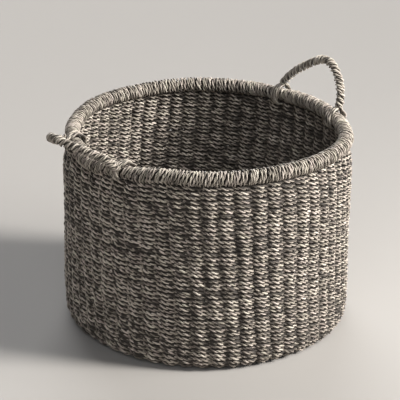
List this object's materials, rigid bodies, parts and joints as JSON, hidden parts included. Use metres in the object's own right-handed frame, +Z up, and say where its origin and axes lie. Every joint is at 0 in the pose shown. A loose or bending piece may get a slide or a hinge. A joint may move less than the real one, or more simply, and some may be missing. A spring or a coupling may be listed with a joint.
{
  "type": "seagrass basket",
  "caption": "Round twined seagrass basket with straight walls, a cord-bound rim and a swinging rope handle on each side.",
  "frame": {"origin": "centre of the base's underside, on the surface that the basket stands on", "axes": "+Z up; the handles are on +X and -X, and -Y is the front"},
  "size_m": [0.4068, 0.3616, 0.3189],
  "materials": {
    "weave": "matt twined seagrass, warm grey-brown",
    "binding": "matt seagrass cord bound close round the rim",
    "rope": "matt twisted seagrass rope",
    "stakes": "matt seagrass cord inside the weaving"
  },
  "bodies": {
    "basket": {"base_weave_lower": "weave", "base_weave_upper": "weave", "starter_coil": "stakes", "corner_weave_outer": "weave", "corner_weave_inner": "weave", "wall_weave_outer": "weave", "wall_weave_inner": "weave", "rim_core": "stakes", "rim_binding": "binding", "stake_pair_01": "stakes", "stake_pair_02": "stakes", "stake_pair_03": "stakes", "stake_pair_04": "stakes", "stake_pair_05": "stakes", "stake_pair_06": "stakes", "stake_pair_07": "stakes", "stake_pair_08": "stakes", "stake_pair_09": "stakes", "stake_pair_10": "stakes", "stake_pair_11": "stakes", "stake_pair_12": "stakes", "stake_pair_13": "stakes", "stake_pair_14": "stakes", "stake_pair_15": "stakes", "stake_pair_16": "stakes", "stake_pair_17": "stakes", "stake_pair_18": "stakes", "stake_pair_19": "stakes", "stake_pair_20": "stakes", "stake_pair_21": "stakes", "stake_pair_22": "stakes", "stake_pair_23": "stakes", "stake_pair_24": "stakes", "stake_pair_25": "stakes", "stake_pair_26": "stakes", "stake_pair_27": "stakes", "stake_pair_28": "stakes"},
    "right_handle": {"right_handle_rope": "rope", "right_handle_eye_front": "rope", "right_handle_eye_back": "rope"},
    "left_handle": {"left_handle_rope": "rope", "left_handle_eye_front": "rope", "left_handle_eye_back": "rope"}
  },
  "joints": [
    {"name": "right_handle_swing", "type": "hinge", "parent": "basket", "child": "right_handle", "pos_m": [0.16046, 0, 0.2485], "axis": [0, 1, 0], "range_deg": [-126, 119]},
    {"name": "left_handle_swing", "type": "hinge", "parent": "basket", "child": "left_handle", "pos_m": [-0.16046, 0, 0.2435], "axis": [0, -1, 0], "range_deg": [-178, 67]}
  ]
}
